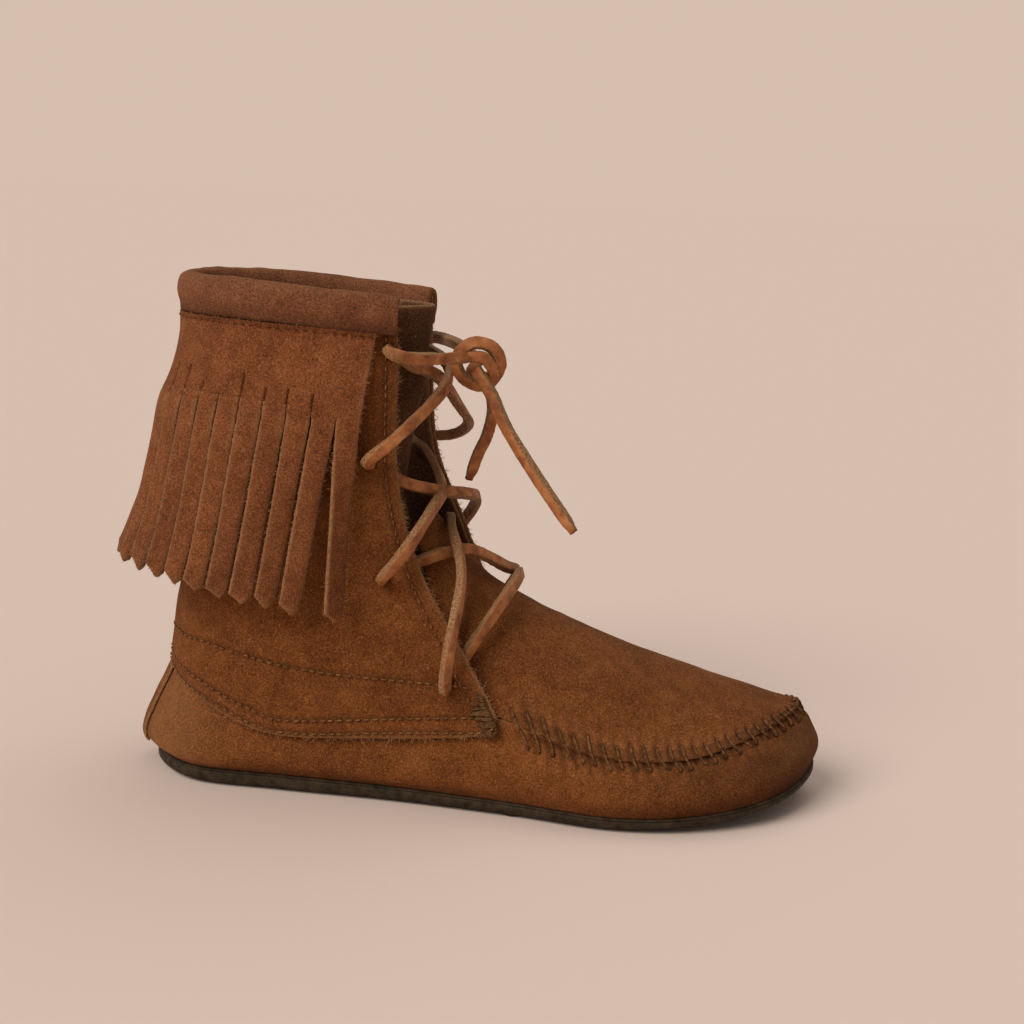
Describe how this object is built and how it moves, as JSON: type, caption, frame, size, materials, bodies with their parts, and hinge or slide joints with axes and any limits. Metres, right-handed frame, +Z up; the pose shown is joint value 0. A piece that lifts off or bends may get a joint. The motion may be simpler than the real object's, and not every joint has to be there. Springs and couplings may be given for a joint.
{
  "type": "fringed lace-up moccasin boot",
  "caption": "Soft ankle boot with a raised whipstitched plug over the toes, laced shaft flaps, a swinging cut fringe round the collar and a thin nubbed sole.",
  "frame": {"origin": "on the floor under the middle of the sole, in the plane of the tread nubs' faces", "axes": "+X towards the toe, +Z up, -Y towards the outer (lateral) side of the right foot"},
  "size_m": [0.2576, 0.0967, 0.1798],
  "materials": {
    "outsole_rubber": "matt moulded",
    "board": "matt fibreboard",
    "foam": "open-cell foam",
    "suede": "napped suede",
    "suede_dark": "napped suede",
    "suede_collar": "napped suede",
    "stiffener": "matt stiffened sheet",
    "rawhide": "grain leather thong",
    "thick_thread": "waxed thread",
    "thread": "waxed thread",
    "tack_thread": "waxed thread"
  },
  "bodies": {
    "boot": {"outsole": "outsole_rubber", "bottom_filler": "board", "insole_board": "board", "insole_foam": "foam", "sock_liner": "suede", "wrap": "suede", "plug": "suede", "quarter_lateral": "suede", "quarter_medial": "suede", "facing_lateral": "suede_dark", "facing_medial": "suede_dark", "heel_counter": "stiffener", "backstay": "suede_dark", "collar_roll": "suede_collar", "fringe_skirt": "suede", "lace": "rawhide", "lace_knot": "rawhide", "lace_end_a": "rawhide", "lace_end_b": "rawhide", "plug_stitches": "thick_thread", "quarter_stitches": "thread", "collar_stitches": "thread", "facing_stitches": "thread", "bar_tacks": "tack_thread"},
    "tongue": {"tongue": "suede_dark"},
    "strand_01": {"strand_01": "suede"},
    "strand_02": {"strand_02": "suede"},
    "strand_03": {"strand_03": "suede"},
    "strand_04": {"strand_04": "suede"},
    "strand_05": {"strand_05": "suede"},
    "strand_06": {"strand_06": "suede"},
    "strand_07": {"strand_07": "suede"},
    "strand_08": {"strand_08": "suede"},
    "strand_09": {"strand_09": "suede"},
    "strand_10": {"strand_10": "suede"},
    "strand_11": {"strand_11": "suede"},
    "strand_12": {"strand_12": "suede"},
    "strand_13": {"strand_13": "suede"},
    "strand_14": {"strand_14": "suede"},
    "strand_15": {"strand_15": "suede"},
    "strand_16": {"strand_16": "suede"},
    "strand_17": {"strand_17": "suede"},
    "strand_18": {"strand_18": "suede"},
    "strand_19": {"strand_19": "suede"},
    "strand_20": {"strand_20": "suede"},
    "strand_21": {"strand_21": "suede"},
    "strand_22": {"strand_22": "suede"},
    "strand_23": {"strand_23": "suede"},
    "strand_24": {"strand_24": "suede"}
  },
  "joints": [
    {"name": "tongue_hinge", "type": "hinge", "parent": "boot", "child": "tongue", "pos_m": [-0.0255, -0.005, 0.074], "axis": [0, -1, 0], "range_deg": [0, 25]},
    {"name": "strand_01_fold", "type": "hinge", "parent": "boot", "child": "strand_01", "pos_m": [-0.04365, 0.03497, 0.13178], "axis": [0.9389, -0.3087, -0.1523], "range_deg": [-5, 75], "stiffness_Nm_per_rad": 0.002},
    {"name": "strand_02_fold", "type": "hinge", "parent": "boot", "child": "strand_02", "pos_m": [-0.05157, 0.03723, 0.133], "axis": [0.9629, -0.2296, -0.1416], "range_deg": [-5, 75], "stiffness_Nm_per_rad": 0.002},
    {"name": "strand_03_fold", "type": "hinge", "parent": "boot", "child": "strand_03", "pos_m": [-0.05967, 0.03864, 0.1342], "axis": [0.9826, -0.1126, -0.1478], "range_deg": [-5, 75], "stiffness_Nm_per_rad": 0.002},
    {"name": "strand_04_fold", "type": "hinge", "parent": "boot", "child": "strand_04", "pos_m": [-0.06788, 0.03915, 0.13534], "axis": [0.9905, -0.0095, -0.1368], "range_deg": [-5, 75], "stiffness_Nm_per_rad": 0.002},
    {"name": "strand_05_fold", "type": "hinge", "parent": "boot", "child": "strand_05", "pos_m": [-0.07612, 0.03872, 0.13627], "axis": [0.9876, 0.1131, -0.1088], "range_deg": [-5, 75], "stiffness_Nm_per_rad": 0.002},
    {"name": "strand_06_fold", "type": "hinge", "parent": "boot", "child": "strand_06", "pos_m": [-0.08426, 0.03726, 0.13687], "axis": [0.9687, 0.239, -0.0671], "range_deg": [-5, 75], "stiffness_Nm_per_rad": 0.002},
    {"name": "strand_07_fold", "type": "hinge", "parent": "boot", "child": "strand_07", "pos_m": [-0.09218, 0.03477, 0.13714], "axis": [0.9328, 0.3586, -0.0366], "range_deg": [-5, 75], "stiffness_Nm_per_rad": 0.002},
    {"name": "strand_08_fold", "type": "hinge", "parent": "boot", "child": "strand_08", "pos_m": [-0.09974, 0.03132, 0.13722], "axis": [0.8821, 0.4707, -0.0191], "range_deg": [-5, 75], "stiffness_Nm_per_rad": 0.002},
    {"name": "strand_09_fold", "type": "hinge", "parent": "boot", "child": "strand_09", "pos_m": [-0.10669, 0.0268, 0.13717], "axis": [0.7872, 0.6166, -0.009], "range_deg": [-5, 75], "stiffness_Nm_per_rad": 0.002},
    {"name": "strand_10_fold", "type": "hinge", "parent": "boot", "child": "strand_10", "pos_m": [-0.11242, 0.02087, 0.13707], "axis": [0.586, 0.8103, -0.0002], "range_deg": [-5, 75], "stiffness_Nm_per_rad": 0.002},
    {"name": "strand_11_fold", "type": "hinge", "parent": "boot", "child": "strand_11", "pos_m": [-0.11628, 0.01359, 0.13692], "axis": [0.3441, 0.9389, 0.0087], "range_deg": [-5, 75], "stiffness_Nm_per_rad": 0.002},
    {"name": "strand_12_fold", "type": "hinge", "parent": "boot", "child": "strand_12", "pos_m": [-0.11824, 0.00555, 0.13678], "axis": [0.1273, 0.9918, 0.008], "range_deg": [-5, 75], "stiffness_Nm_per_rad": 0.002},
    {"name": "strand_13_fold", "type": "hinge", "parent": "boot", "child": "strand_13", "pos_m": [-0.1185, -0.00273, 0.13675], "axis": [-0.0619, 0.9981, -0.0047], "range_deg": [-5, 75], "stiffness_Nm_per_rad": 0.002},
    {"name": "strand_14_fold", "type": "hinge", "parent": "boot", "child": "strand_14", "pos_m": [-0.11713, -0.01089, 0.13687], "axis": [-0.2698, 0.9628, -0.0102], "range_deg": [-5, 75], "stiffness_Nm_per_rad": 0.002},
    {"name": "strand_15_fold", "type": "hinge", "parent": "boot", "child": "strand_15", "pos_m": [-0.11392, -0.01849, 0.13703], "axis": [-0.503, 0.8643, -0.0035], "range_deg": [-5, 75], "stiffness_Nm_per_rad": 0.002},
    {"name": "strand_16_fold", "type": "hinge", "parent": "boot", "child": "strand_16", "pos_m": [-0.10884, -0.02499, 0.13714], "axis": [-0.7164, 0.6976, 0.0087], "range_deg": [-5, 75], "stiffness_Nm_per_rad": 0.002},
    {"name": "strand_17_fold", "type": "hinge", "parent": "boot", "child": "strand_17", "pos_m": [-0.1024, -0.0302, 0.13719], "axis": [-0.83, 0.5575, 0.0184], "range_deg": [-5, 75], "stiffness_Nm_per_rad": 0.002},
    {"name": "strand_18_fold", "type": "hinge", "parent": "boot", "child": "strand_18", "pos_m": [-0.09522, -0.03439, 0.13713], "axis": [-0.8932, 0.4486, 0.032], "range_deg": [-5, 75], "stiffness_Nm_per_rad": 0.002},
    {"name": "strand_19_fold", "type": "hinge", "parent": "boot", "child": "strand_19", "pos_m": [-0.08757, -0.03762, 0.13693], "axis": [-0.9443, 0.3248, 0.0527], "range_deg": [-5, 75], "stiffness_Nm_per_rad": 0.002},
    {"name": "strand_20_fold", "type": "hinge", "parent": "boot", "child": "strand_20", "pos_m": [-0.07953, -0.03957, 0.13653], "axis": [-0.9866, 0.144, 0.0768], "range_deg": [-5, 75], "stiffness_Nm_per_rad": 0.002},
    {"name": "strand_21_fold", "type": "hinge", "parent": "boot", "child": "strand_21", "pos_m": [-0.07129, -0.04014, 0.13588], "axis": [-0.9942, -0.0056, 0.1076], "range_deg": [-5, 75], "stiffness_Nm_per_rad": 0.002},
    {"name": "strand_22_fold", "type": "hinge", "parent": "boot", "child": "strand_22", "pos_m": [-0.06305, -0.03978, 0.13485], "axis": [-0.9844, -0.0782, 0.1575], "range_deg": [-5, 75], "stiffness_Nm_per_rad": 0.002},
    {"name": "strand_23_fold", "type": "hinge", "parent": "boot", "child": "strand_23", "pos_m": [-0.05491, -0.03899, 0.13331], "axis": [-0.9697, -0.1133, 0.2164], "range_deg": [-5, 75], "stiffness_Nm_per_rad": 0.002},
    {"name": "strand_24_fold", "type": "hinge", "parent": "boot", "child": "strand_24", "pos_m": [-0.04697, -0.03769, 0.13122], "axis": [-0.9385, -0.1956, 0.2844], "range_deg": [-5, 75], "stiffness_Nm_per_rad": 0.002}
  ]
}
